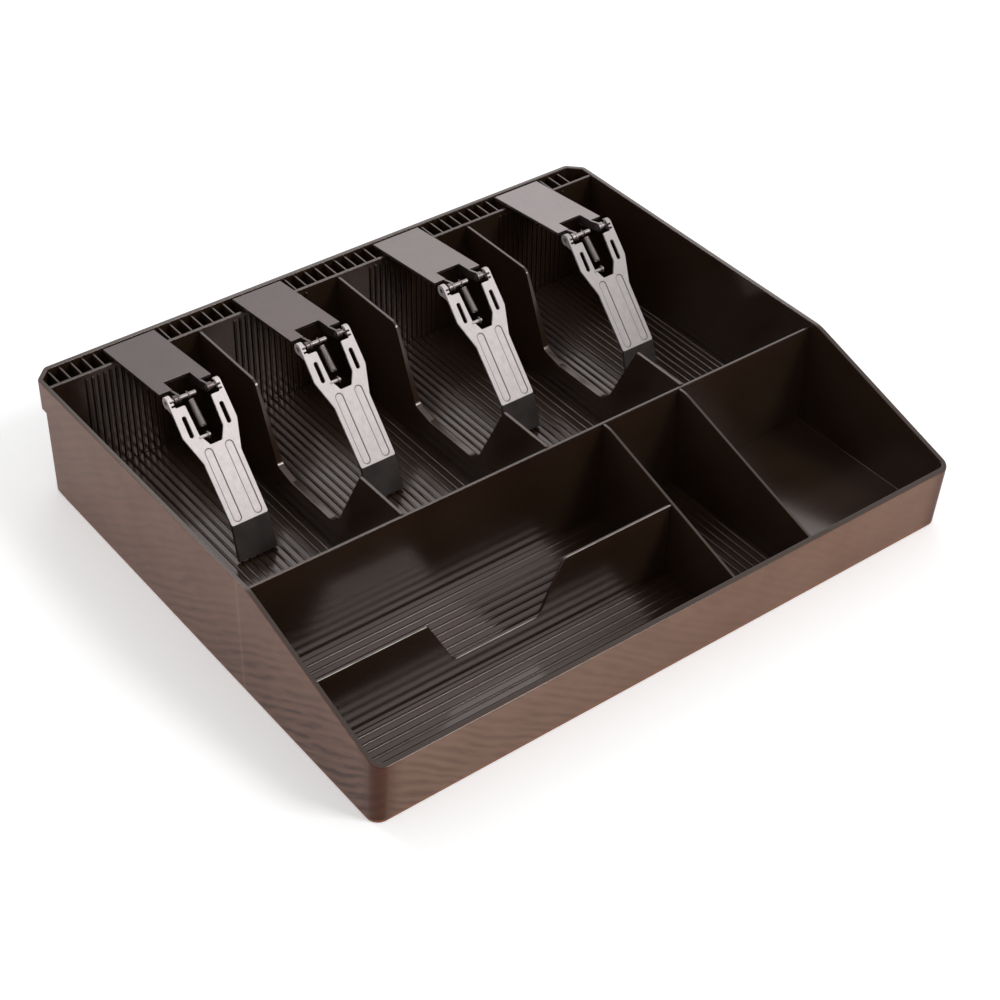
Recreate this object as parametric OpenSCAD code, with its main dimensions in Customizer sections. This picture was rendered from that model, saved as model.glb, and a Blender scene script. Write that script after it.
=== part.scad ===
// Cash tray for a till drawer: four note bays with sprung clips, and coin compartments in front.
// Millimetres. The origin is the middle of the footprint on the standing plane.
// +X runs to the right along the front wall, +Y from the front wall to the rear lip, +Z up.

/* [Tray] */
// Width over the side walls
tray_width = 330; // [322:1:345]
// Depth from the front rim to the rear lip
tray_depth = 285; // [280:1:290]
// Height of the side rims and the rear rim
rim_height = 63.7; // [63.5:0.1:66]
// Height of the front rim
front_height = 34.5; // [32:0.5:38]
// Distance behind the front rim at which the side rims turn level
bend_distance = 93.5; // [85:0.5:97]
// Thickness of the side walls and the rear lip
side_wall = 2.4; // [1.8:0.1:3]
// Thickness of the front wall
front_wall = 2.7; // [2:0.1:3.5]
// Radius of the upright outside corners in front
corner_radius = 6; // [4:0.5:8]
// Length that the bevelled rear corners take off each side
corner_bevel = 7.4; // [5:0.1:8]
// Height of the skirt that the tray stands on
skirt_height = 2; // [1:0.1:3]
// Thickness of the floor
floor_thickness = 2.3; // [1.5:0.1:2.3]

/* [Rear rail] */
// Width of the rail that takes the clips, between the bays' wall and the lip
rail_width = 11.8; // [10:0.1:12]
// Overhang of the lip behind the lower rear wall
lip_overhang = 4.2; // [3:0.1:5]
// Height of the lip's underside
lip_height = 47.4; // [44:0.1:52]
// Spacing of the rail's ribs
rail_pitch = 6.015; // [5.9:0.005:6.1]
// Distance of the first rib from the left side
rail_first = 8; // [7.8:0.1:9]
// Thickness of the rail's ribs
rail_rib = 0.9; // [0.8:0.1:1.4]

/* [Dividers] */
// Thickness of the dividers; of the note dividers, at the height of the rims
divider = 1.4; // [1.2:0.1:2]
// Lean of each face of the note dividers, in degrees; they are thicker at the floor
divider_draft = 1.35; // [0.5:0.05:1.5]
// Distance of the first note divider from the left side
first_divider = 83.1; // [81:0.1:84]
// Spacing of the note dividers
note_pitch = 80.8; // [80:0.1:82]
// Distance of the cross wall behind the front rim
cross_distance = 98.7; // [98:0.1:102]
// Height of the cross wall
cross_height = 60.6; // [60.5:0.1:62]
// Lowest point of the note dividers
valley_height = 20.7; // [15:0.1:24]
// Distance of the left front divider from the left side
front_divider_a = 196.3; // [190:0.1:200]
// Distance of the right front divider from the left side
front_divider_b = 242.7; // [238:0.1:250]
// Distance of the coin divider behind the front rim
coin_distance = 48.5; // [44:0.5:54]
// Height of the coin divider
coin_height = 45.5; // [40:0.5:47]
// Distance of the middle of the coin divider's finger cut-out from the left side
cutout_distance = 96.8; // [94:0.1:100]
// Lowest point of the finger cut-out
cutout_height = 18.2; // [14:0.1:24]

/* [Ridges] */
// Spacing of the floor ridges in the note bays and the narrow compartment
bay_ridge_pitch = 4.1; // [3:0.1:6]
// Spacing of the floor ridges in the two long compartments
coin_ridge_pitch = 4.55; // [3:0.05:6]
// Width of a floor ridge
ridge_width = 1.1; // [0.5:0.1:1.2]
// Height of a floor ridge
ridge_height = 0.6; // [0.3:0.1:0.6]
// Spacing of the upright ribs behind the note bays
wall_rib_pitch = 3.22; // [2.6:0.01:4]
// Upright ribs behind each note bay
wall_rib_count = 14; // [8:1:16]

/* [Clips] */
// Height of the hinge axes above the standing plane
hinge_height = 69; // [69:0.1:71]
// Distance of the hinge axes behind the front rim
hinge_distance = 220; // [216:0.5:222]
// Slope of the closed arms below the horizontal, in degrees
arm_slope = 48.06; // [40:0.01:48.1]
// Radius of the hinge pins
pin_radius = 1.1; // [0.9:0.05:1.2]
// Thickness of the arm's sheet
sheet = 1; // [0.8:0.1:1.2]
// Length of the arm from its hinge axis to the end of the blade
arm_length = 64; // [60:0.5:64]
// Turns of the spring
spring_turns = 12; // [6:1:12]
// Distance between the spring's turns
spring_pitch = 1.1; // [1:0.01:1.1]

/* [Hidden] */

$fn = 96;

// Colours as the photograph shows them
shell_colour = [0.36, 0.28, 0.24];
inside_colour = [0.11, 0.10, 0.09];
bracket_colour = [0.50, 0.47, 0.47];
steel_colour = [0.83, 0.80, 0.79];
foot_colour = [0.16, 0.15, 0.15];
spring_colour = [0.45, 0.42, 0.40];

// Reach past a surface, so that a cut goes right through, and overlap of two cuts
past = 20;
overlap = 1;

// Tray levels and limits
floor_top = skirt_height + floor_thickness;
inside_left = side_wall;
inside_right = tray_width - side_wall;
front_slope = (rim_height - front_height) / bend_distance;
bend_radius = 20;
bevel_radius = 3.5;

// Lean of the front wall; this sine goes with the short exact cosine 0.99712
lean_angle = asin(0.07584);

// Rear rail, as distances behind the front rim
lip_inside = tray_depth - side_wall;
rail_front = lip_inside - rail_width;
bay_wall_thickness = 1.8;
bays_rear = rail_front - bay_wall_thickness;
lower_rear = tray_depth - lip_overhang;
hollow_rear = lower_rear - side_wall;
ledge_thickness = 2;
ledge_top = lip_height + ledge_thickness;
rail_rib_top = rim_height - 1.1;
bay_wall_top = rim_height - 0.5;
rail_rib_count = floor((inside_right - corner_bevel - rail_first) / rail_pitch) + 1;

// Cross wall and dividers
cross_front = cross_distance - divider / 2;
bays_front = cross_distance + divider / 2;
note_bays = 4;
bill_divider_distances = [for (n = [0:note_bays - 2]) first_divider + n * note_pitch];
note_divider_rear_top = rim_height - 1.4;
note_divider_front_top = rim_height - 2.4;
front_divider_top = cross_height - 0.2;
front_divider_drop = 3.2;

// Note dividers' drop: distances behind the front rim, and a height above the lowest point
drop_rear_top = 218.5;
drop_rear_knee = 200.4;
drop_rear_knee_rise = 2.6;
valley_rear = 189.2;
valley_front = 150.9;
drop_front_top = 131.2;
crest_radius = 5;
knee_radius = 4;
valley_front_radius = 10;
front_crest_radius = 1;

// Half the thickness of a note divider at a height
function half_divider(height) = divider / 2 + (rim_height - height) * tan(divider_draft);

// Coin divider's cut-out
cutout_top_half = 36.9;
cutout_bottom_half = 23.1;
cutout_top_radius = 2.5;
cutout_bottom_radius = 4;

// Ribs behind the note bays
wall_rib_width = 1.3;
wall_rib_depth = 0.7;
wall_rib_top = bay_wall_top - 2.4;
ridge_margin = 1.2;

// Note bays' side limits at the floor, from the left side
bay_lefts = concat([inside_left], [for (x = bill_divider_distances) x + half_divider(floor_top)]);
bay_rights = concat([for (x = bill_divider_distances) x - half_divider(floor_top)], [inside_right]);

// Rail ribs that the four clips are centred on, counted from the left
clip_ribs = [7, 19, 33, 46];

// Clip bracket, measured from the hinge axis: distance behind it, and height above it
plate_half_width = 13.9;
plate_thickness = 1.6;
plate_front = 6.3;
plate_front_height = 1.2;
plate_rear = 59.6;
plate_slope = 5.2 / 53.3;
notch_half_width = 7;
notch_depth = 8.1;
cheek_thickness = 1.2;
cheek_radius = 2.4;
cheek_depth = 5.8;
cheek_lap = 6;
boss_radius = 2;
boss_end = 10.2;
leg_front = 52.3;
leg_rear = 59.3;
leg_point = [1, 3];
leg_gap = 0.3;
leg_offset = 1.5 * rail_pitch;

// Hinge
pin_press = 0.02;
pin_clearance = 0.05;
ear_end = 14.3;
anchor_end = 1.5;

// Clip arm, measured from the hinge axis: across it, and along the arm
sheet_top = 3;
sheet_bottom = sheet_top - sheet;
ear_radius = sheet_top;
ear_inside = ear_end - sheet;
knuckle_inside = 11.8;
leg_top = 4;
leg_inside = 7;
fork_inside = 6.4;
fork_shoulder = 19.4;
fork_bottom = 25.2;
fork_bottom_half = 3.2;
arm_widest = 14.5;
arm_widest_at = 18;
neck_half = 10;
neck_at = 32.5;
blade_end_half = 9.8;
flange_length = 6.5;
slot_offset = 10;
slot_radius = 1.1;
slot_start = 8.6;
slot_end = 19.4;
bead_offset = 5.5;
bead_radius = 2;
bead_depth = 0.3;
bead_start = 26.5;
bead_end_gap = 1.2;
lug_at = 20.5;
lug_radius = 0.8;
lug_inside = 1;

// Clip foot: a bent plate, drawn along the arm and above the hinge axis; its end stands level
foot_outline = [
    [arm_length, sheet_bottom],
    [arm_length - 16, sheet_bottom],
    [arm_length - 16, sheet_bottom - 1.3],
    [arm_length + 0.8, sheet_bottom - 1.3],
    [arm_length + 15.66, -6.73],
    [arm_length + 17.4, -4.8],
    [arm_length, sheet_top],
];
foot_radii = [0, 0, 0, 5, 0, 0.8, 0];
foot_widening = 0.7 / 17.4;

// Clip spring
spring_offset = -2.3;
wire = 0.5;
coil_radius = 1.2;
hook_radius = pin_radius + 0.3 + wire / 2;
hook_start = 60;
coil_start = 2.7;
rings_per_turn = 8;
wire_sides = 6;
transition_steps = 4;
transition_pull = 0.8;
hook_steps = 10;

// Distances from the left side and behind the front rim, as coordinates
function across(distance) = distance - tray_width / 2;
function along(distance) = distance - tray_depth / 2;

// Distance behind the front rim of the leaning front wall's inner face, at a height
function front_face(height) = front_wall / cos(lean_angle) + (front_height - height) * tan(lean_angle);

// Corner geometry: unit vectors along the two edges, and the points where a radius meets them
function unit(v) = v / norm(v);
function towards(points, i, step) = unit(points[(i + step + len(points)) % len(points)] - points[i]);
function half_angle(points, i) = acos(towards(points, i, -1) * towards(points, i, 1)) / 2;
function is_outer(points, i) = cross(towards(points, i, -1), towards(points, i, 1)) < 0;
function meeting(points, i, r, step) = points[i] + towards(points, i, step) * r / tan(half_angle(points, i));
function middle(points, i, r) =
    points[i] + unit(towards(points, i, -1) + towards(points, i, 1)) * r / sin(half_angle(points, i));

// Outline with its corners rounded by true arcs; the points run anticlockwise.
// The circle of an outer corner has to fit inside the outline.
module rounded_outline(points, radii) {
    corners = [for (i = [0:len(points) - 1]) if (radii[i] > 0) i];
    difference() {
        union() {
            polygon([
                for (i = [0:len(points) - 1])
                    each radii[i] > 0
                        ? [meeting(points, i, radii[i], -1), meeting(points, i, radii[i], 1)]
                        : [points[i]]
            ]);
            for (i = corners)
                if (is_outer(points, i)) translate(middle(points, i, radii[i])) circle(radii[i]);
        }
        for (i = corners)
            if (!is_outer(points, i)) translate(middle(points, i, radii[i])) circle(radii[i]);
    }
}

// Side outline, drawn as distance and height, extruded from one x to another
module extrude_across(from, to) {
    translate([from, 0, 0])
        rotate([90, 0, 90])
            linear_extrude(to - from)
                children();
}

// Box given by its limits from the left side, behind the front rim and in height
module block(left, right, front, rear, bottom, top) {
    translate([across(left), along(front), bottom])
        cube([right - left, rear - front, top - bottom]);
}

// Upright prism that leans with the front wall, set in from the outer faces
module leaning_prism(side_inset, front_inset) {
    half = tray_width / 2 - side_inset;
    radius = corner_radius - side_inset;
    translate([0, along(0), front_height])
        rotate([lean_angle, 0, 0])
            translate([0, 0, -front_height - past])
                linear_extrude(front_height + rim_height + 2 * past)
                    rounded_outline(
                        [
                            [-half, front_inset],
                            [half, front_inset],
                            [half, tray_depth + past],
                            [-half, tray_depth + past],
                        ],
                        [radius, radius, 0, 0]
                    );
}

// Upright prism with bevelled rear corners; the wall round it keeps its thickness there
module rear_prism(side_inset, front, rear, bottom, top) {
    half = tray_width / 2 - side_inset;
    bevel = corner_bevel - side_inset * (2 - sqrt(2));
    radius = bevel_radius - side_inset;
    translate([0, 0, bottom])
        linear_extrude(top - bottom)
            rounded_outline(
                [
                    [-half, along(front)],
                    [half, along(front)],
                    [half, along(rear) - bevel],
                    [half - bevel, along(rear)],
                    [-half + bevel, along(rear)],
                    [-half, along(rear) - bevel],
                ],
                [0, 0, radius, radius, radius, radius]
            );
}

// Everything below the rims: level at the rear, sloping down to the front rim
module below_rims() {
    extrude_across(-tray_width / 2 - past, tray_width / 2 + past)
        rounded_outline(
            [
                [along(-past), 0],
                [along(tray_depth + past), 0],
                [along(tray_depth + past), rim_height],
                [along(bend_distance), rim_height],
                [along(-past), front_height - past * front_slope],
            ],
            [0, 0, 0, bend_radius, 0]
        );
}

module tray_shell() {
    color(shell_colour)
        difference() {
            intersection() {
                leaning_prism(0, 0);
                union() {
                    rear_prism(0, -past, lower_rear, 0, lip_height);
                    rear_prism(0, -past, tray_depth, lip_height, rim_height);
                }
                below_rims();
            }
            // Bays and compartments
            intersection() {
                leaning_prism(side_wall, front_wall);
                block(0, tray_width, -past, rail_front, floor_top, rim_height + past);
            }
            // Rail above the ledge
            rear_prism(side_wall, rail_front - past, lip_inside, ledge_top, rim_height + past);
            // Hollow of the double rear wall, open from below
            rear_prism(side_wall, rail_front - past, hollow_rear, floor_top, lip_height);
            rear_prism(side_wall, rail_front, hollow_rear, -past, floor_top + overlap);
            // Space under the floor, inside the skirt
            intersection() {
                leaning_prism(side_wall, front_wall);
                block(0, tray_width, -past, rail_front + overlap, -past, skirt_height);
            }
        }
}

module bay_rear_wall() {
    color(inside_colour)
        block(inside_left, inside_right, bays_rear, rail_front, floor_top, bay_wall_top);
}

// The first rib ends at the bevelled corner
module rail_ribs() {
    color(inside_colour)
        for (i = [0:rail_rib_count - 1]) {
            x = rail_first + i * rail_pitch;
            intersection() {
                rear_prism(side_wall, rail_front - past, lip_inside, ledge_top, rim_height);
                block(x - rail_rib / 2, x + rail_rib / 2, rail_front, tray_depth, 0, rail_rib_top);
            }
        }
}

module bill_divider(n) {
    heights = [
        [bays_front, floor_top],
        [bays_rear, floor_top],
        [bays_rear, note_divider_rear_top],
        [drop_rear_top, note_divider_rear_top],
        [drop_rear_knee, valley_height + drop_rear_knee_rise],
        [valley_rear, valley_height],
        [valley_front, valley_height],
        [drop_front_top, note_divider_front_top],
        [bays_front, note_divider_front_top],
    ];
    radii = [0, 0, 0, crest_radius, knee_radius, knee_radius, valley_front_radius, front_crest_radius, 0];
    foot = half_divider(0);
    top = half_divider(rim_height);
    color(inside_colour)
        translate([across(bill_divider_distances[n - 1]), 0, 0])
            intersection() {
                extrude_across(-past, past)
                    rounded_outline([for (p = heights) [along(p[0]), p[1]]], radii);
                translate([0, along(tray_depth), 0])
                    rotate([90, 0, 0])
                        linear_extrude(tray_depth)
                            polygon([[-foot, 0], [foot, 0], [top, rim_height], [-top, rim_height]]);
            }
}

module cross_wall() {
    color(inside_colour)
        block(inside_left, inside_right, cross_front, bays_front, floor_top, cross_height);
}

// The top edge bends by a circle that reaches behind the cross wall, so the outline is cut there
module front_divider(distance) {
    x = across(distance);
    front_top = front_height + front_slope * front_face(front_height) - front_divider_drop;
    turn = (front_divider_top - front_height + front_divider_drop) / front_slope;
    heights = [
        [front_face(floor_top), floor_top],
        [cross_front + 2 * past, floor_top],
        [cross_front + 2 * past, front_divider_top],
        [turn, front_divider_top],
        [front_face(front_top), front_top],
    ];
    color(inside_colour)
        extrude_across(x - divider / 2, x + divider / 2)
            difference() {
                rounded_outline([for (p = heights) [along(p[0]), p[1]]], [0, 0, 0, bend_radius, 0]);
                translate([along(cross_front), 0]) square([3 * past, rim_height]);
            }
}

module coin_divider() {
    left = across(inside_left);
    right = across(front_divider_a - divider / 2);
    mid = across(cutout_distance);
    color(inside_colour)
        translate([0, along(coin_distance + divider / 2), 0])
            rotate([90, 0, 0])
                linear_extrude(divider)
                    rounded_outline(
                        [
                            [left, floor_top],
                            [right, floor_top],
                            [right, coin_height],
                            [mid + cutout_top_half, coin_height],
                            [mid + cutout_bottom_half, cutout_height],
                            [mid - cutout_bottom_half, cutout_height],
                            [mid - cutout_top_half, coin_height],
                            [left, coin_height],
                        ],
                        [
                            0, 0, 0, cutout_top_radius, cutout_bottom_radius,
                            cutout_bottom_radius, cutout_top_radius, 0,
                        ]
                    );
}

// Floor ridges side by side from left to right, running front to rear
module ridges_along(left, right, front, rear) {
    room = right - left - 2 * ridge_margin - ridge_width;
    gaps = floor(room / bay_ridge_pitch);
    first = (left + right - gaps * bay_ridge_pitch) / 2;
    for (i = [0:gaps]) {
        x = first + i * bay_ridge_pitch;
        block(x - ridge_width / 2, x + ridge_width / 2, front, rear, floor_top, floor_top + ridge_height);
    }
}

// Floor ridges one behind the other, running left to right
module ridges_across(left, right, front, rear) {
    room = rear - front - 2 * ridge_margin - ridge_width;
    gaps = floor(room / coin_ridge_pitch);
    first = (front + rear - gaps * coin_ridge_pitch) / 2;
    for (i = [0:gaps]) {
        y = first + i * coin_ridge_pitch;
        block(left, right, y - ridge_width / 2, y + ridge_width / 2, floor_top, floor_top + ridge_height);
    }
}

module bay_floor_ribs() {
    color(inside_colour)
        for (n = [0:note_bays - 1])
            ridges_along(bay_lefts[n], bay_rights[n], bays_front, bays_rear - wall_rib_depth);
}

module bay_wall_ribs() {
    color(inside_colour)
        for (n = [0:note_bays - 1], i = [0:wall_rib_count - 1]) {
            mid = (bay_lefts[n] + bay_rights[n]) / 2;
            x = mid + (i - (wall_rib_count - 1) / 2) * wall_rib_pitch;
            block(x - wall_rib_width / 2, x + wall_rib_width / 2,
                  bays_rear - wall_rib_depth, bays_rear, floor_top, wall_rib_top);
        }
}

module coin_floor_ribs() {
    right = front_divider_a - divider / 2;
    color(inside_colour) {
        ridges_across(inside_left, right, front_face(floor_top), coin_distance - divider / 2);
        ridges_across(inside_left, right, coin_distance + divider / 2, cross_front);
    }
}

module narrow_floor_ribs() {
    left = front_divider_a + divider / 2;
    right = front_divider_b - divider / 2;
    color(inside_colour)
        ridges_along(left, right, front_face(floor_top), cross_front);
}

// A clip's own frame: the origin is on its hinge axis, over the middle of the clip
module at_clip(n) {
    translate([
        across(rail_first + clip_ribs[n - 1] * rail_pitch),
        along(hinge_distance),
        hinge_height,
    ])
        children();
}

// The arm's frame: -Y runs down the arm from the hinge axis, and +Z out of its upper face
module in_arm() {
    rotate([arm_slope, 0, 0]) children();
}

// Sheet outline, drawn across and along the arm, given its thickness
module arm_sheet(bottom, top) {
    translate([0, 0, bottom])
        linear_extrude(top - bottom)
            mirror([0, 1])
                children();
}

// Arm's side outline, drawn along the arm and above the axis, from one x to another
module arm_side(from, to) {
    extrude_across(from, to) mirror([1, 0]) children();
}

// Straight slot with round ends along the arm
module stadium(offset, radius, start, end) {
    translate([offset - radius, start + radius]) square([2 * radius, end - start - 2 * radius]);
    for (s = [start + radius, end - radius])
        translate([offset, s]) circle(radius);
}

// Cylinder along X from one x to another
module rod(radius, from, to) {
    translate([from, 0, 0]) rotate([0, 90, 0]) cylinder(h = to - from, r = radius);
}

// Height of the bracket plate's upper face, at a distance behind the hinge axis
function plate_top(distance) = plate_front_height - (distance - plate_front) * plate_slope;

module plate_profile(front, rear) {
    polygon([
        [front, plate_top(front) - plate_thickness],
        [rear, plate_top(rear) - plate_thickness],
        [rear, plate_top(rear)],
        [front, plate_top(front)],
    ]);
}

// Cheek: from under the plate forwards to a round end about the hinge axis
module cheek_profile() {
    notch_rear = plate_front + notch_depth;
    circle(cheek_radius);
    polygon([
        [0, -cheek_radius],
        [notch_rear, -cheek_depth],
        [notch_rear + cheek_lap, plate_top(notch_rear + cheek_lap) - plate_thickness / 2],
        [plate_front + cheek_lap / 2, plate_top(plate_front + cheek_lap / 2) - plate_thickness / 2],
        [0, cheek_radius],
    ]);
}

module clip_bracket(n) {
    color(bracket_colour)
        at_clip(n)
            difference() {
                union() {
                    difference() {
                        extrude_across(-plate_half_width, plate_half_width) plate_profile(plate_front, plate_rear);
                        translate([-notch_half_width, -past, -past])
                            cube([2 * notch_half_width, past + plate_front + notch_depth, 2 * past]);
                    }
                    for (side = [0, 1])
                        mirror([side, 0, 0]) {
                            extrude_across(notch_half_width, notch_half_width + cheek_thickness) cheek_profile();
                            rod(boss_radius, notch_half_width + cheek_thickness, boss_end);
                            clip_leg();
                        }
                }
                for (side = [0, 1])
                    mirror([side, 0, 0])
                        rod(pin_radius - pin_press, notch_half_width - overlap, boss_end + overlap);
            }
}

// Leg that stands in a pocket of the rail
module clip_leg() {
    half = (rail_pitch - rail_rib) / 2 - leg_gap;
    foot = ledge_top - hinge_height;
    extrude_across(leg_offset - half, leg_offset + half)
        polygon([
            [leg_front + leg_point[0], foot],
            [leg_rear - leg_point[0], foot],
            [leg_rear, foot + leg_point[1]],
            [leg_rear, plate_top(leg_rear) - plate_thickness / 2],
            [leg_front, plate_top(leg_front) - plate_thickness / 2],
            [leg_front, foot + leg_point[1]],
        ]);
}

// The left pin runs on inwards and holds the spring's upper hook
module clip_hinge_pins(n) {
    color(steel_colour)
        at_clip(n) {
            rod(pin_radius, -ear_end, anchor_end);
            rod(pin_radius, notch_half_width, ear_end);
        }
}

// Half of the arm's outline, from the blade's end round the fork, across and along the arm
half_edge = [
    [blade_end_half, arm_length],
    [neck_half, neck_at],
    [arm_widest, arm_widest_at],
    [ear_end, 0],
    [knuckle_inside, 0],
    [knuckle_inside, leg_top],
    [leg_inside, leg_top],
    [fork_inside, fork_shoulder],
    [fork_bottom_half, fork_bottom],
];
half_radii = [1, 3, 3, 0, 0, 0.6, 0.8, 1.5, 0.8];

module arm_outline() {
    last = len(half_edge) - 1;
    rounded_outline(
        concat([for (p = half_edge) [-p[0], p[1]]], [for (i = [last:-1:0]) half_edge[i]]),
        concat(half_radii, [for (i = [last:-1:0]) half_radii[i]])
    );
}

// Rolled end of a leg: a quarter ring about the hinge axis
module knuckle() {
    intersection() {
        difference() {
            rod(ear_radius, knuckle_inside, ear_end);
            rod(sheet_bottom, 0, ear_end + overlap);
        }
        translate([knuckle_inside, 0, 0]) cube([ear_end - knuckle_inside, ear_radius, ear_radius]);
    }
}

// Ear with the pin's bore, running into a short side flange
module ear() {
    difference() {
        arm_side(ear_inside, ear_end) {
            circle(ear_radius);
            polygon([
                [0, -ear_radius],
                [flange_length, sheet_bottom],
                [flange_length, sheet_top],
                [0, sheet_top],
            ]);
        }
        rod(pin_radius + pin_clearance, ear_inside - overlap, ear_end + overlap);
    }
}

module clip_arm(n) {
    color(steel_colour)
        at_clip(n)
            in_arm() {
                difference() {
                    arm_sheet(sheet_bottom, sheet_top) arm_outline();
                    for (side = [-1, 1]) {
                        arm_sheet(-past, past) stadium(side * slot_offset, slot_radius, slot_start, slot_end);
                        arm_sheet(sheet_top - bead_depth, past)
                            stadium(side * bead_offset, bead_radius, bead_start, arm_length - bead_end_gap);
                    }
                }
                for (side = [0, 1])
                    mirror([side, 0, 0]) {
                        knuckle();
                        ear();
                    }
                translate([0, -lug_at, (sheet_top + sheet_bottom) / 2])
                    rod(lug_radius, -leg_inside, -lug_inside);
            }
}

module clip_foot(n) {
    start = arm_length - past;
    end = arm_length + past;
    color(foot_colour)
        at_clip(n)
            in_arm()
                intersection() {
                    arm_side(-past, past) rounded_outline(foot_outline, foot_radii);
                    arm_sheet(-past, past)
                        polygon([
                            [-blade_end_half + past * foot_widening, start],
                            [blade_end_half - past * foot_widening, start],
                            [blade_end_half + past * foot_widening, end],
                            [-blade_end_half - past * foot_widening, end],
                        ]);
                }
}

// Spring's centre line: x across the clip, y out of the arm, z from the pin to the lug
spring_reach = norm([lug_at, (sheet_top + sheet_bottom) / 2]);
spring_tilt = atan((sheet_top + sheet_bottom) / 2 / lug_at);

function hook_point(a) = [0, hook_radius * sin(a), hook_radius * cos(a)];
function hook_direction(a) = [0, cos(a), -sin(a)];
function coil_point(a) = [coil_radius * cos(a), coil_radius * sin(a), coil_start + spring_pitch * (a + 90) / 360];
function coil_direction(a) =
    unit([-coil_radius * sin(a), coil_radius * cos(a), spring_pitch / 360 * 180 / PI]);
function blend_point(p, u, q, v, t) =
    pow(1 - t, 3) * p + 3 * t * pow(1 - t, 2) * (p + u) + 3 * t * t * (1 - t) * (q - v) + pow(t, 3) * q;
function turned_over(p) = [-p[0], p[1], spring_reach - p[2]];

hook_end = 360 - hook_start;
upper_hook = concat(
    [hook_point(hook_start) - wire * hook_direction(hook_start)],
    [for (i = [0:hook_steps]) hook_point(hook_start + (hook_end - hook_start) * i / hook_steps)]
);
function transition(end) = [
    for (i = [1:transition_steps])
        blend_point(
            hook_point(hook_end), transition_pull * hook_direction(hook_end),
            end, transition_pull * coil_direction(-90),
            i / (transition_steps + 1)
        )
];
coil = [for (i = [0:spring_turns * rings_per_turn]) coil_point(-90 + 360 * i / rings_per_turn)];
upper_transition = transition(coil[0]);
far_transition = transition(turned_over(coil[len(coil) - 1]));
lower_transition = [for (i = [transition_steps - 1:-1:0]) turned_over(far_transition[i])];
lower_hook = [for (i = [len(upper_hook) - 1:-1:0]) turned_over(upper_hook[i])];
spring_line = concat(upper_hook, upper_transition, coil, lower_transition, lower_hook);

// Directions along the line, and a side vector carried along it without twist
function line_direction(line, i) = unit(line[min(i + 1, len(line) - 1)] - line[max(i - 1, 0)]);
function carried(side, direction) = unit(side - (side * direction) * direction);
function side_vectors(line) = [
    for (i = 0, side = carried([1, 0, 0], line_direction(line, 0)); i < len(line);
         i = i + 1, side = i < len(line) ? carried(side, line_direction(line, i)) : side)
        side
];

// One unbroken tube along a line, with flat ends
module tube(line, radius, sides) {
    vectors = side_vectors(line);
    points = [
        for (i = [0:len(line) - 1], k = [0:sides - 1])
            line[i]
                + radius * cos(360 * k / sides) * vectors[i]
                + radius * sin(360 * k / sides) * cross(line_direction(line, i), vectors[i])
    ];
    last = (len(line) - 1) * sides;
    faces = concat(
        [for (k = [1:sides - 2]) [0, k, k + 1]],
        [for (k = [1:sides - 2]) [last, last + k + 1, last + k]],
        [for (i = [0:len(line) - 2], k = [0:sides - 1])
            each let (a = i * sides + k, b = i * sides + (k + 1) % sides)
                [[a, a + sides, b], [b, a + sides, b + sides]]]
    );
    polyhedron(points, faces, convexity = 10);
}

module clip_spring(n) {
    color(spring_colour)
        at_clip(n)
            in_arm()
                translate([spring_offset, 0, 0])
                    rotate([90 - spring_tilt, 0, 0])
                        tube(spring_line, wire / 2, wire_sides);
}

tray_shell();
bay_rear_wall();
rail_ribs();
bill_divider(1);  // bill_divider_1
bill_divider(2);  // bill_divider_2
bill_divider(3);  // bill_divider_3
cross_wall();
front_divider(front_divider_a);  // front_divider_left
front_divider(front_divider_b);  // front_divider_right
coin_divider();
bay_floor_ribs();
bay_wall_ribs();
coin_floor_ribs();
narrow_floor_ribs();
clip_bracket(1);  // clip_bracket_1
clip_hinge_pins(1);  // clip_hinge_pins_1
clip_arm(1);  // clip_arm_1
clip_foot(1);  // clip_foot_1
clip_spring(1);  // clip_spring_1
clip_bracket(2);  // clip_bracket_2
clip_hinge_pins(2);  // clip_hinge_pins_2
clip_arm(2);  // clip_arm_2
clip_foot(2);  // clip_foot_2
clip_spring(2);  // clip_spring_2
clip_bracket(3);  // clip_bracket_3
clip_hinge_pins(3);  // clip_hinge_pins_3
clip_arm(3);  // clip_arm_3
clip_foot(3);  // clip_foot_3
clip_spring(3);  // clip_spring_3
clip_bracket(4);  // clip_bracket_4
clip_hinge_pins(4);  // clip_hinge_pins_4
clip_arm(4);  // clip_arm_4
clip_foot(4);  // clip_foot_4
clip_spring(4);  // clip_spring_4
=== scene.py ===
import math

import bpy
from mathutils import Matrix, Vector


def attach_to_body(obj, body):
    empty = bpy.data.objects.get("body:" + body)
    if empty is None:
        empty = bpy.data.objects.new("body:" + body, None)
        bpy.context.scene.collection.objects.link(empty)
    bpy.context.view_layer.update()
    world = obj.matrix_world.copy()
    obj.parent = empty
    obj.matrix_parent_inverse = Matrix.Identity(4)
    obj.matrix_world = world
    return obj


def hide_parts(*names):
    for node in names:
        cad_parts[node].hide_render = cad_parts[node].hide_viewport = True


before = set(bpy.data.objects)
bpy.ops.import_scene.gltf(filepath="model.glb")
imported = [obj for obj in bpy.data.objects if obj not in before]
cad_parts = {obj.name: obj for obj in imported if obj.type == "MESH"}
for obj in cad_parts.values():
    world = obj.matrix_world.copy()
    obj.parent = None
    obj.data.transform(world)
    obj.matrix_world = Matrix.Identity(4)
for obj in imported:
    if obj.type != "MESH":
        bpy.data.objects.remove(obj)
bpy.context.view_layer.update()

MM = 0.001

# Tray, in millimetres, as in the part's source
TRAY_WIDTH = 330
TRAY_DEPTH = 285
LIP_HEIGHT = 47.4

# Height on either side of the lip's within which edges stay sharp
LIP_BAND = 1

# Outer walls: how upright a face stands and how near the outline it is, as shares of one
WALL_UPRIGHT = 0.7
WALL_REACH = 0.94

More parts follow.
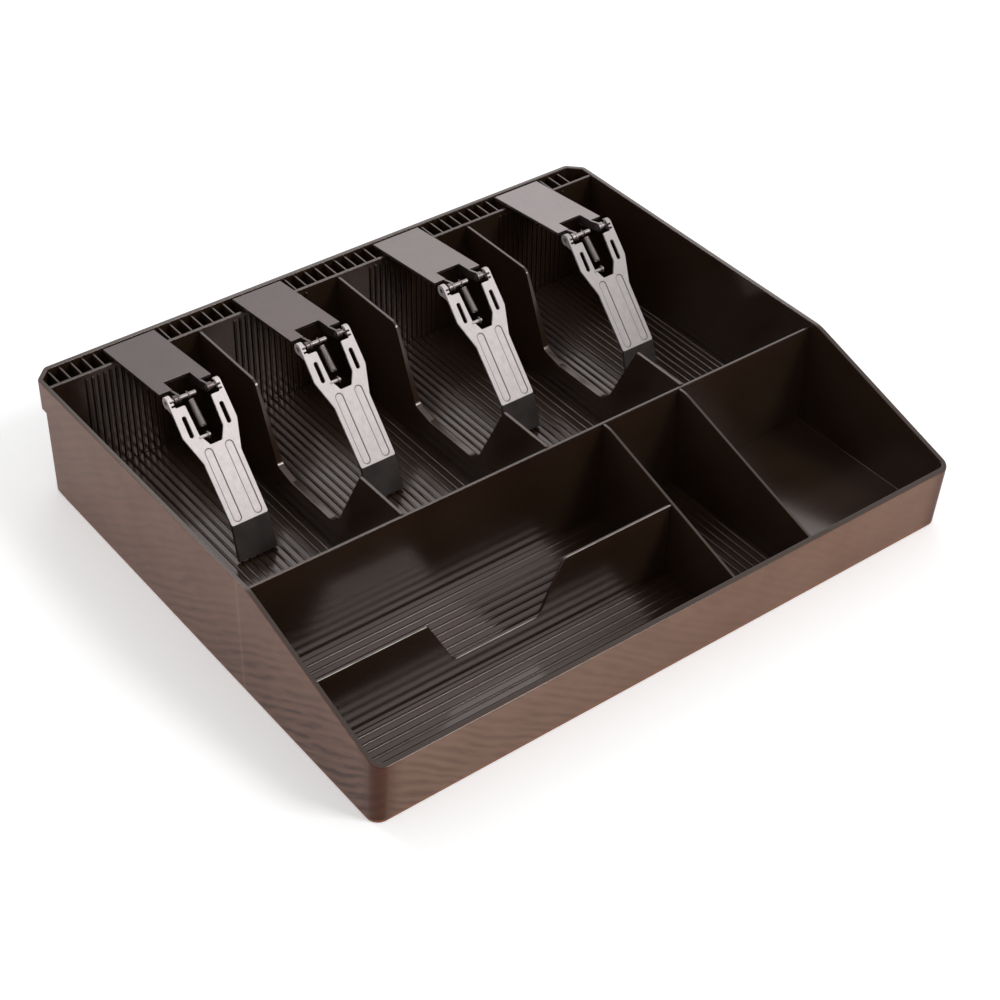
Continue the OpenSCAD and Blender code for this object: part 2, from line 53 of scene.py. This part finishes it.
# Front top edge of a wall: how far its faces lean and turn, as parts of their normals
EDGE_LEAN = 0.2
EDGE_TURN = 0.25

# Rounding of the CAD copies: welding distance in metres, then angles in degrees
WELD = 3e-6
FLAT_ANGLE = 0.2
SHARP_ANGLE = 25
SMOOTH_ANGLE = 50

# Clips: distances of their middles from the left side, and the hinge axes' place
CLIP_MIDDLES = [50.105, 122.285, 206.495, 284.69]
CLIPS = range(len(CLIP_MIDDLES))
HINGE_DISTANCE = 220
HINGE_HEIGHT = 69
ARM_SLOPE = 48.06

# Clip arms' pressed beads, across and along the arm, round which shade is painted
BEAD_OFFSET = 5.5
BEAD_RADIUS = 2
BEAD_CENTRES = (28.5, 60.8)

# Notches in the legs' rolled ends: distances from the hinge axis, then the cutter's middle and size.
# The cutter also reaches 0.15 mm into the ears, beside their bores.
NOTCHES = (0.7, 2.8)
NOTCH_OFFSET = 12.3
NOTCH_HEIGHT = 3.2
NOTCH_SIZE = (2.3, 0.95, 6)

# Clip springs: their offset across the arm, and the lug's place along the arm and out of it,
# all from the hinge axis
SPRING_OFFSET = -2.3
LUG_ALONG = 20.5
LUG_ABOVE = 2.5
SPRING_REACH = math.hypot(LUG_ALONG, LUG_ABOVE)
SPRING_TILT = math.degrees(math.atan2(LUG_ABOVE, LUG_ALONG))
WIRE = 0.6
COIL_RADIUS = 1.5
COIL_FROM = 2.7
COIL_TO = 15.9
HOOK_RADIUS = 1.65
HOOK_TURN = 300

# Distance from turn to turn, in wire diameters
COIL_LAY = 1.15

# Faces round the wire, along one turn of the coil and along a hook
COIL_SIDES = 8
COIL_STEPS = 20
HOOK_STEPS = 24

# Painted light for each clip, from the left: the arms' brightness, lighter or darker as light falls on
# each, and the plates' greys, a painted reflection
ARM_PAINTED_LIGHT = (1.0, 0.9, 0.87, 0.66)
PLATE_REFLECTION_GREYS = [(101, 92, 92), (104, 95, 94), (125, 117, 116), (142, 134, 134)]


# Selecting and finishing


def pick(*pieces):
    """Select these objects only, with the first one active."""
    bpy.ops.object.select_all(action="DESELECT")
    for piece in pieces:
        piece.select_set(True)
    bpy.context.view_layer.objects.active = pieces[0]


def edit(piece, *steps):
    """Run edit-mode steps on everything in a piece."""
    pick(piece)
    bpy.ops.object.mode_set(mode="EDIT")
    bpy.ops.mesh.select_all(action="SELECT")
    for step in steps:
        step()
    bpy.ops.object.mode_set(mode="OBJECT")


def modify(piece, kind, **settings):
    """Add a modifier and apply it."""
    pick(piece)
    modifier = piece.modifiers.new(kind.lower(), kind)
    for name, value in settings.items():
        setattr(modifier, name, value)
    bpy.ops.object.modifier_apply(modifier=modifier.name)


def settle(piece):
    """Move a piece's place into its mesh."""
    pick(piece)
    bpy.ops.object.transform_apply(location=True, rotation=True, scale=True)


def attach(piece, body, slot, *nodes):
    """Hang a finished piece on its body, in place of its CAD nodes."""
    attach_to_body(piece, body)
    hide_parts(*nodes)


def middle(piece, line):
    """Middle of an edge."""
    first, last = (piece.data.vertices[v].co for v in line.vertices)
    return (first + last) / 2


def choose(piece, lines):
    """Select these edges only, for the next edit."""
    edit(
        piece,
        lambda: bpy.ops.mesh.select_mode(type="EDGE"),
        lambda: bpy.ops.mesh.select_all(action="DESELECT"),
    )
    for index in lines:
        piece.data.edges[index].select = True


def softened(node, radius, segments=2, is_kept=lambda place: False, cut=None):
    """Copy of a CAD node, merged and cut, with its sharp edges rounded but for those that are kept."""
    piece = bpy.data.objects.new("soft_" + node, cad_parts[node].data.copy())
    bpy.context.scene.collection.objects.link(piece)
    piece.data.materials.clear()
    edit(
        piece,
        lambda: bpy.ops.mesh.customdata_custom_splitnormals_clear(),
        lambda: bpy.ops.mesh.remove_doubles(threshold=WELD),
        lambda: bpy.ops.mesh.dissolve_limited(angle_limit=math.radians(FLAT_ANGLE)),
    )
    if cut:
        cut(piece)
    edit(
        piece,
        lambda: bpy.ops.mesh.select_mode(type="EDGE"),
        lambda: bpy.ops.mesh.select_all(action="DESELECT"),
        lambda: bpy.ops.mesh.edges_select_sharp(sharpness=math.radians(SHARP_ANGLE)),
    )
    rounded = [line.index for line in piece.data.edges if line.select and not is_kept(middle(piece, line))]
    choose(piece, rounded)
    bpy.ops.object.mode_set(mode="EDIT")
    bpy.ops.mesh.bevel(offset=radius * MM, segments=segments, affect="EDGES", clamp_overlap=False)
    bpy.ops.object.mode_set(mode="OBJECT")
    bpy.ops.object.shade_smooth_by_angle(angle=math.radians(SMOOTH_ANGLE))
    modify(piece, "WEIGHTED_NORMAL", keep_sharp=True, weight=100)
    return piece


# Shader writing


class Number:
    """A shader number; its operators add Math nodes."""

    def __init__(self, nodes, socket):
        self.nodes = nodes
        self.socket = socket

    def math(self, operation, *values):
        node = self.nodes.node("ShaderNodeMath", {"operation": operation}, *values)
        return Number(self.nodes, node.outputs[0])

    def __add__(self, other):
        return self.math("ADD", self, other)

    def __sub__(self, other):
        return self.math("SUBTRACT", self, other)

    def __rsub__(self, other):
        return self.math("SUBTRACT", other, self)

    def __mul__(self, other):
        return self.math("MULTIPLY", self, other)

    def __pow__(self, other):
        return self.math("POWER", self, other)

    __radd__ = __add__
    __rmul__ = __mul__

    def at_least(self, other):
        return self.math("MAXIMUM", self, other)

    def size(self):
        return self.math("ABSOLUTE", self)

    def wave(self):
        return self.math("SINE", self)

    def rise(self, low, high, to_low=0.0, to_high=1.0):
        """Smooth step from to_low at low to to_high at high."""
        node = self.nodes.node(
            "ShaderNodeMapRange",
            {"interpolation_type": "SMOOTHSTEP"},
            self, low, high, to_low, to_high,
        )
        return Number(self.nodes, node.outputs[0])


class Nodes:
    """A node tree, to which one method adds every node."""

    def __init__(self, tree):
        self.tree = tree

    def node(self, kind, settings, *values, **named):
        """Add a node: its settings first, then its sockets in order, then sockets by name."""
        node = self.tree.nodes.new(kind)
        for name, value in settings.items():
            if name == "stops":
                for i, (position, colour) in enumerate(value):
                    stop = node.color_ramp.elements
                    element = stop[i] if i < len(stop) else stop.new(position)
                    element.position = position
                    element.color = (*colour, 1)
            else:
                setattr(node, name, value)
        sockets = list(zip(node.inputs, values))
        sockets += [(node.inputs[name.replace("_", " ")], value) for name, value in named.items()]
        for socket, value in sockets:
            self.feed(socket, value)
        return node

    def feed(self, socket, value):
        """Set a socket to a constant, or link it."""
        if isinstance(value, Number):
            self.tree.links.new(value.socket, socket)
        elif isinstance(value, bpy.types.NodeSocket):
            self.tree.links.new(value, socket)
        else:
            socket.default_value = value


class Finish(Nodes):
    """A material on one Principled shader."""

    def __init__(self, name, **constants):
        self.material = bpy.data.materials.new(name)
        self.material.use_nodes = True
        super().__init__(self.material.node_tree)
        self.surface = self.tree.nodes["Principled BSDF"]
        for socket, value in constants.items():
            self.surface.inputs[socket.replace("_", " ")].default_value = value
        self.place = self.node("ShaderNodeTexCoord", {}).outputs["Object"]

    def set(self, name, value):
        self.feed(self.surface.inputs[name], value)

    def axes(self, place=None):
        """X, y and z of the place in millimetres."""
        parts = self.node("ShaderNodeSeparateXYZ", {}, place or self.place).outputs
        return [Number(self, part) * 1000 for part in parts]

    def point(self, x, y, z):
        return self.node("ShaderNodeCombineXYZ", {}, x, y, z).outputs[0]

    def noise(self, place, scale, detail=3.0, roughness=0.5):
        node = self.node(
            "ShaderNodeTexNoise", {}, Vector=place, Scale=scale, Detail=detail, Roughness=roughness
        )
        return Number(self, node.outputs[0])

    def colours(self, factor, *stops):
        """Colour from a ramp of (position, colour) stops."""
        node = self.node("ShaderNodeValToRGB", {"stops": stops}, factor)
        return node.outputs[0]

    def mixed(self, factor, first, second):
        """Colour between two colours, through the Mix node's own colour sockets."""
        first_socket, second_socket, colour_output = 6, 7, 2
        node = self.node("ShaderNodeMix", {"data_type": "RGBA", "blend_type": "MIX"}, factor)
        for place, value in ((first_socket, first), (second_socket, second)):
            is_linked = isinstance(value, bpy.types.NodeSocket)
            self.feed(node.inputs[place], value if is_linked else (*value, 1))
        return node.outputs[colour_output]

    def bump(self, height, strength, distance=0.0002):
        node = self.node(
            "ShaderNodeBump", {}, Strength=strength, Distance=distance, Height=height
        )
        self.set("Normal", node.outputs[0])


def shade(red, green, blue):
    """Linear colour from the 0 to 255 values that a picture shows."""
    parts = [c / 255 for c in (red, green, blue)]
    return tuple(c / 12.92 if c <= 0.04045 else ((c + 0.055) / 1.055) ** 2.4 for c in parts)


# Finishes


def black_plastic():
    """Near-black moulded plastic with faint flow marks and dust."""
    finish = Finish("black_gloss_plastic", IOR=1.6, Specular_Tint=(1.0, 0.88, 0.85, 1.0))
    cloud = finish.noise(finish.place, 18, 3)
    speck = finish.noise(finish.place, 900, 2)
    colour = finish.colours(cloud, (0.3, shade(37, 24, 16)), (0.7, shade(48, 35, 26)))
    finish.set("Base Color", colour)
    finish.set("Roughness", 0.1 + 0.08 * cloud + 0.05 * speck)
    finish.bump(speck, 0.05)
    return finish.material


def brown_walls():
    """Warm brown outside with wavy darker streaks, painted light across the front, painted shade on the
    front corners and a faint lighter upright line.
    """
    side_from, side_to = 158.5, 160.5
    side_lean, front_lean = 0.64, 0.76
    streak_rate, streak_drift = 1.1, 13
    streak_top = 44
    upright_line_distance, upright_line_from = 40, 160
    corner_across, corner_forward, corner_width = 150, 127, 13

    finish = Finish("brown_gloss_outside", IOR=1.25)
    x, y, z = finish.axes()
    sideways = x.size().rise(side_from, side_to)
    frontal = 1 - sideways
    across = (side_lean * y + z) * sideways + (front_lean * x + z) * frontal
    lengthways = (y - side_lean * z) * sideways + (x - front_lean * z) * frontal

    drift = finish.noise(finish.point(across * 0.05, lengthways * 0.02, 0.0), 1.0, 2)
    broken = finish.noise(finish.point(across * 0.22, lengthways * 0.03, 9.0), 1.0, 2)
    waves = (across * streak_rate + drift * streak_drift).wave() * 0.5 + 0.5
    streak = waves * broken.rise(0.35, 0.6, 0.3, 1.0)
    fine = finish.noise(finish.point(across * 0.9, lengthways * 0.05, 5.0), 1.0, 3, 0.6)
    cloud = finish.noise(finish.place, 45, 3, 0.55)

    # Painted light: the front and rear walls are lighter towards the left and darker towards the right, as
    # light falls on them.
    front = finish.mixed(x.rise(-150, 120), shade(120, 92, 77), shade(112, 79, 60))
    wall = finish.mixed(sideways, front, shade(113, 80, 66))
    patches = (cloud * 0.7 + fine * 0.3).rise(0.35, 0.65, 0.0, 0.2)
    toned = finish.mixed(patches, wall, shade(150, 118, 100))

    low = (streak_top - z).rise(-16, 34)
    toward_front = (0 - y).rise(-120, 140) * sideways + (60 - x).rise(-60, 230) * frontal
    strength = low * toward_front * (1.1 * sideways + 0.5 * frontal) + 0.1 + 0.15 * sideways
    depth = strength * (0.65 * streak + 0.35 * fine)
    streaked = finish.mixed(depth, toned, shade(66, 40, 32))

    # A faint lighter upright line on the left side wall.
    beside_upright_line = (y + upright_line_distance).size()
    upright_line = (0 - x).rise(upright_line_from, upright_line_from + 1) * beside_upright_line.rise(0.4, 1.5, 0.14, 0.0)
    with_upright_line = finish.mixed(upright_line, streaked, shade(165, 138, 124))

    # Painted shade on the rounded front corners, darker and more orange where the wall turns.
    into_side = (x.size() - corner_across).rise(0, corner_width)
    into_front = (0 - y - corner_forward).rise(0, corner_width)
    turned = finish.mixed(into_side * into_front * 0.9, with_upright_line, shade(72, 34, 14))

    fringe = z.rise(0.5, 2.2, 0.7, 0.0)
    finish.set("Base Color", finish.mixed(fringe, turned, shade(150, 92, 62)))
    finish.set("Roughness", 0.32 + 0.1 * fine)
    finish.bump(fine, 0.06)
    return finish.material


def pressed_steel(name, colour, roughness):
    """Pressed sheet steel with fine lengthwise grain."""
    finish = Finish(name, Metallic=1.0)
    x, y, z = finish.axes()
    grain = finish.noise(finish.point(x * 3, (y + z) * 0.15, 0.0), 1.0, 3)
    cloud = finish.noise(finish.place, 60, 3)
    tone = 0.6 * grain + 0.4 * cloud
    low = tuple(c * 0.88 for c in colour)
    high = tuple(min(1.0, c * 1.08) for c in colour)
    finish.set("Base Color", finish.colours(tone, (0.3, low), (0.7, high)))
    finish.set("Roughness", roughness + 0.12 * (cloud - 0.5))
    finish.bump(grain, 0.04)
    return finish.material


def arm_steel(n):
    """Bright zinc-plated sheet, lighter or darker per clip by painted light, with painted shade in fine
    lines round its two pressed beads.
    """
    finish = Finish(f"arm_steel_{n + 1}", Metallic=1.0)
    frame_place = clip_frame(n)
    turned = finish.node(
        "ShaderNodeMapping",
        {"vector_type": "TEXTURE"},
        finish.place,
        frame_place.translation,
        frame_place.to_euler(),
    ).outputs[0]
    x, y, z = finish.axes(turned)
    side = x.size() - BEAD_OFFSET
    first, last = BEAD_CENTRES
    beyond = (first + y).at_least(0 - y - last).at_least(0)
    outline = ((side * side + beyond * beyond) ** 0.5 - BEAD_RADIUS).size().rise(0.1, 0.42)
    cloud = finish.noise(turned, 170, 4, 0.6)
    grain = finish.noise(finish.point(x * 2.5, y * 0.2, z), 1.0, 3)
    tone = 0.65 * cloud + 0.35 * grain
    darker, brighter = (182, 175, 175), (215, 208, 207)
    # Painted light: each arm's colours are scaled by its clip's factor.
    low, high = (tuple(c * ARM_PAINTED_LIGHT[n] for c in shade(*grey)) for grey in (darker, brighter))
    zinc = finish.colours(tone, (0.3, low), (0.7, high))
    # Painted shade: fine dark lines round the pressed beads.
    finish.set("Base Color", finish.mixed(outline, shade(122, 115, 114), zinc))
    finish.set("Roughness", 0.6 + 0.16 * cloud)
    finish.bump(tone, 0.08)
    return finish.material


def painted_highlight_plastic():
    """Pale smooth plastic, a painted highlight along the coin divider's front top edge."""
    finish = Finish("painted_highlight_plastic", IOR=1.5)
    cloud = finish.noise(finish.place, 55, 3, 0.6)
    finish.set("Base Color", finish.colours(cloud, (0.35, shade(108, 98, 94)), (0.6, shade(178, 168, 164))))
    finish.set("Roughness", 0.3 - 0.1 * cloud)
    finish.bump(cloud, 0.05)
    return finish.material


def foot_plastic():
    """Charcoal satin plastic of the feet."""
    finish = Finish("charcoal_plastic", IOR=1.5)
    cloud = finish.noise(finish.place, 120, 3)
    finish.set("Base Color", finish.colours(cloud, (0.3, shade(47, 41, 39)), (0.7, shade(60, 54, 52))))
    finish.set("Roughness", 0.45 + 0.1 * cloud)
    finish.bump(cloud, 0.05)
    return finish.material


BLACK = black_plastic()
BROWN = brown_walls()
PAINTED_HIGHLIGHT = painted_highlight_plastic()
# Each plate's grey is a painted reflection, lighter towards the right.
PLATES = [pressed_steel(f"bracket_painted_reflection_{n + 1}", shade(*PLATE_REFLECTION_GREYS[n]), 0.38) for n in CLIPS]
PIN = pressed_steel("pin_steel", shade(150, 142, 140), 0.45)
SPRING = pressed_steel("spring_steel", shade(150, 141, 139), 0.3)
FOOT = foot_plastic()


# Tray


def is_outside(polygon):
    """True for a face of the outer walls."""
    flat = Vector((polygon.normal.x, polygon.normal.y, 0))
    if flat.length < WALL_UPRIGHT:
        return False
    x, y = polygon.center.x / MM, polygon.center.y / MM
    reach = max(abs(x) / (TRAY_WIDTH / 2), abs(y) / (TRAY_DEPTH / 2))
    return flat.dot(Vector((x, y, 0))) > 0 and reach > WALL_REACH


def is_under_lip(place):
    """True where the rear lip tapers to nothing along the side walls."""
    return abs(place.z / MM - LIP_HEIGHT) < LIP_BAND


def is_front_top_edge(polygon):
    """True for a face between a wall's top and its front."""
    lean = polygon.normal
    return lean.z > EDGE_LEAN and lean.y < -EDGE_LEAN and abs(lean.x) < EDGE_TURN


def paint(piece, base, other, is_other):
    """Give a piece one finish, and another on the faces that a test picks."""
    finishes = [base, other]
    for finish in finishes:
        piece.data.materials.append(finish)
    for polygon in piece.data.polygons:
        polygon.material_index = finishes.index(other if is_other(polygon) else base)


def moulding():
    """The tray's shell, brown outside and black inside."""
    piece = softened("tray_shell", 0.45, 3, is_under_lip)
    paint(piece, BLACK, BROWN, is_outside)
    piece.name = "shell_moulding"
    attach(piece, "tray", "shell", "tray_shell")


def inside_piece(node, radius, segments):
    """A black wall or set of ribs inside the tray."""
    piece = softened(node, radius, segments)
    piece.data.materials.append(BLACK)
    attach(piece, "tray", "inside", node)


def coin_wall():
    """The coin divider, black with a painted highlight along its front top edge."""
    piece = softened("coin_divider", 0.45, 4)
    # Painted highlight: the pale finish goes on the front top edge faces.
    paint(piece, BLACK, PAINTED_HIGHLIGHT, is_front_top_edge)
    attach(piece, "tray", "inside", "coin_divider")


moulding()
for node, radius, segments in (
    ("bay_rear_wall", 0.35, 2),
    ("rail_ribs", 0.15, 2),
    ("bill_divider_1", 0.2, 2),
    ("bill_divider_2", 0.2, 2),
    ("bill_divider_3", 0.2, 2),
    ("cross_wall", 0.3, 3),
    ("front_divider_left", 0.3, 3),
    ("front_divider_right", 0.3, 3),
    ("bay_floor_ribs", 0.5, 4),
    ("bay_wall_ribs", 0.5, 4),
    ("coin_floor_ribs", 0.5, 4),
    ("narrow_floor_ribs", 0.5, 4),
):
    inside_piece(node, radius, segments)
coin_wall()


# Clips


def clip_frame(n):
    """Matrix of the frame in which clip n's arm lies along -Y."""
    place = Vector((
        CLIP_MIDDLES[n] - TRAY_WIDTH / 2,
        HINGE_DISTANCE - TRAY_DEPTH / 2,
        HINGE_HEIGHT,
    )) * MM
    return Matrix.Translation(place) @ Matrix.Rotation(math.radians(ARM_SLOPE), 4, "X")


def wound_spring():
    """Tightly wound coil and its two hooks, drawn up the Z axis from the pin."""
    turns = round((COIL_TO - COIL_FROM) / (WIRE * COIL_LAY))
    bpy.ops.object.select_all(action="DESELECT")
    bpy.ops.mesh.primitive_circle_add(
        vertices=COIL_SIDES,
        radius=WIRE / 2 * MM,
        location=(COIL_RADIUS * MM, 0, COIL_FROM * MM),
        rotation=(math.pi / 2, 0, 0),
    )
    coil = bpy.context.object
    settle(coil)
    modify(
        coil,
        "SCREW",
        screw_offset=(COIL_TO - COIL_FROM) / turns * MM,
        iterations=turns,
        steps=COIL_STEPS,
        render_steps=COIL_STEPS,
        use_normal_calculate=True,
    )
    hooks = [hook(is_far=False), hook(is_far=True)]
    pick(coil, *hooks)
    bpy.ops.object.join()
    edit(
        coil,
        lambda: bpy.ops.mesh.fill_holes(sides=COIL_SIDES),
        lambda: bpy.ops.mesh.normals_make_consistent(inside=False),
    )
    bpy.ops.object.shade_smooth()
    return coil


def hook(is_far):
    """Open ring round the pin, or round the lug at the far end. It stops short of the coil."""
    bpy.ops.object.select_all(action="DESELECT")
    bpy.ops.mesh.primitive_circle_add(
        vertices=COIL_SIDES,
        radius=WIRE / 2 * MM,
        location=(0, 0, -HOOK_RADIUS * MM),
        rotation=(0, math.pi / 2, math.pi / 2),
    )
    piece = bpy.context.object
    settle(piece)
    edit(
        piece,
        lambda: bpy.ops.mesh.spin(
            steps=HOOK_STEPS, angle=math.radians(HOOK_TURN), center=(0, 0, 0), axis=(1, 0, 0)
        ),
    )
    if is_far:
        piece.location = (0, 0, SPRING_REACH * MM)
        piece.rotation_euler = (math.pi, 0, 0)
    settle(piece)
    return piece


def notched(arm):
    """Cut two notches into the rolled end of each leg."""
    bpy.ops.object.select_all(action="DESELECT")
    cutters = []
    for side in (-1, 1):
        for distance in NOTCHES:
            bpy.ops.mesh.primitive_cube_add(size=MM)
            cutter = bpy.context.object
            cutter.matrix_world = (
                clip_frame(0)
                @ Matrix.Translation(Vector((side * NOTCH_OFFSET, -distance, NOTCH_HEIGHT)) * MM)
                @ Matrix.Diagonal((*NOTCH_SIZE, 1))
            )
            settle(cutter)
            cutters.append(cutter)
    pick(*cutters)
    bpy.ops.object.join()
    modify(arm, "BOOLEAN", object=cutters[0], operation="DIFFERENCE", solver="EXACT")
    pick(cutters[0])
    bpy.ops.object.delete()


def laid(first, n):
    """The first clip's piece, or a copy of it moved over to clip n."""
    if n == 0:
        return first
    piece = first.copy()
    piece.data = first.data.copy()
    bpy.context.scene.collection.objects.link(piece)
    piece.location = ((CLIP_MIDDLES[n] - CLIP_MIDDLES[0]) * MM, 0, 0)
    settle(piece)
    return piece


def clips():
    """The four clips, each piece modelled once for the first clip and copied to the others."""
    spring = wound_spring()
    spring.matrix_world = (
        clip_frame(0)
        @ Matrix.Translation((SPRING_OFFSET * MM, 0, 0))
        @ Matrix.Rotation(math.radians(90 - SPRING_TILT), 4, "X")
    )
    settle(spring)
    arms = [arm_steel(n) for n in CLIPS]
    for node, first, finishes, slot in (
        ("clip_bracket", softened("clip_bracket_1", 0.18), PLATES, "bracket"),
        ("clip_arm", softened("clip_arm_1", 0.13, cut=notched), arms, "arm"),
        ("clip_foot", softened("clip_foot_1", 0.3), [FOOT] * len(CLIPS), "foot"),
        ("clip_spring", spring, [SPRING] * len(CLIPS), "spring"),
    ):
        pieces = [laid(first, n) for n in CLIPS]
        for n, piece in enumerate(pieces):
            piece.name = f"made_{node}_{n + 1}"
            piece.data.materials.append(finishes[n])
            body = "tray" if slot == "bracket" else f"clip_{n + 1}"
            attach(piece, body, slot, f"{node}_{n + 1}")
    for n in CLIPS:
        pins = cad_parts[f"clip_hinge_pins_{n + 1}"]
        pins.data.materials.clear()
        pins.data.materials.append(PIN)


clips()


# Floor, light and camera


def white_where_seen(nodes, socket, lit, full=1.0):
    """Full level to the camera, in reflections and through clear parts, and a plain level elsewhere."""
    path = nodes.node("ShaderNodeLightPath", {}).outputs
    seen = Number(nodes, path["Is Camera Ray"])
    for ray in ("Is Glossy Ray", "Is Transmission Ray"):
        seen = seen.at_least(path[ray])
    level = nodes.node("ShaderNodeMapRange", {}, seen, 0.0, 1.0, lit, full)
    nodes.feed(socket, level.outputs[0])


def studio():
    """White room, white paper under the tray, and the lamps."""
    floor_size, floor_gap = 6, 0.0002
    room_light, paper_glow = 0.6, 0.25

    world = bpy.data.worlds.new("studio")
    bpy.context.scene.world = world
    world.use_nodes = True
    background = world.node_tree.nodes["Background"]
    background.inputs["Color"].default_value = (1, 1, 1, 1)
    white_where_seen(Nodes(world.node_tree), background.inputs["Strength"], room_light)

    bpy.ops.object.select_all(action="DESELECT")
    bpy.ops.mesh.primitive_plane_add(size=floor_size, location=(0, 0, -floor_gap))
    floor = bpy.context.object
    floor.name = "studio_floor"
    settle(floor)
    paper = Finish("floor_paper", Roughness=0.9)
    speck = paper.noise(paper.place, 400, 2)
    paper.set("Base Color", paper.colours(speck, (0.3, (0.93,) * 3), (0.7, (0.96,) * 3)))
    paper.set("Emission Color", (1, 1, 1, 1))
    white_where_seen(paper, paper.surface.inputs["Emission Strength"], 0.0, paper_glow)
    floor.data.materials.append(paper.material)

    for name, direction, distance, width, height, glow in (
        ("front_softbox", (0.374, -0.622, 0.688), 4.0, 1.05, 1.05, 16),
        ("front_skirt", (0.43, -0.71, 0.557), 4.0, 1.05, 0.4, 5),
        ("rear_lamp", (-0.27, 0.604, 0.75), 1.6, 0.25, 0.25, 12),
        ("rear_window", (0.49, 0.6, 0.64), 4.0, 2.0, 2.0, 1.0),
    ):
        lamp = bpy.data.lights.new(name, "AREA")
        lamp.shape = "RECTANGLE"
        lamp.size = width
        lamp.size_y = height
        lamp.energy = glow * math.pi * width * height
        holder = bpy.data.objects.new(name, lamp)
        bpy.context.scene.collection.objects.link(holder)
        way = Vector(direction).normalized()
        holder.location = way * distance
        holder.rotation_euler = (-way).to_track_quat("-Z", "Y").to_euler()


def camera():
    """Camera fitted to the edges of the tray in the photograph."""
    place = (-0.489825, -0.635386, 0.663217)
    yaw, pitch, roll = 0.6665115, 0.6935074, 0.0214869
    focal_pixels, picture_pixels = 2141.23, 1000
    sensor_width = 36
    sideways_shift, upward_shift = -0.0062084, 0.0065028

    ahead = Vector((
        math.sin(yaw) * math.cos(pitch),
        math.cos(yaw) * math.cos(pitch),
        -math.sin(pitch),
    ))
    level = Vector((math.cos(yaw), -math.sin(yaw), 0))
    upward = level.cross(ahead)
    right = math.cos(roll) * level + math.sin(roll) * upward
    up = -math.sin(roll) * level + math.cos(roll) * upward
    turn = Matrix((right, up, -ahead)).transposed().to_4x4()

    data = bpy.data.cameras.new("camera")
    data.sensor_width = sensor_width
    data.lens = focal_pixels / picture_pixels * sensor_width
    data.shift_x = sideways_shift
    data.shift_y = upward_shift
    holder = bpy.data.objects.new("camera", data)
    bpy.context.scene.collection.objects.link(holder)
    holder.matrix_world = Matrix.Translation(place) @ turn
    bpy.context.scene.camera = holder


studio()
camera()
bpy.context.scene.view_settings.view_transform = "Standard"
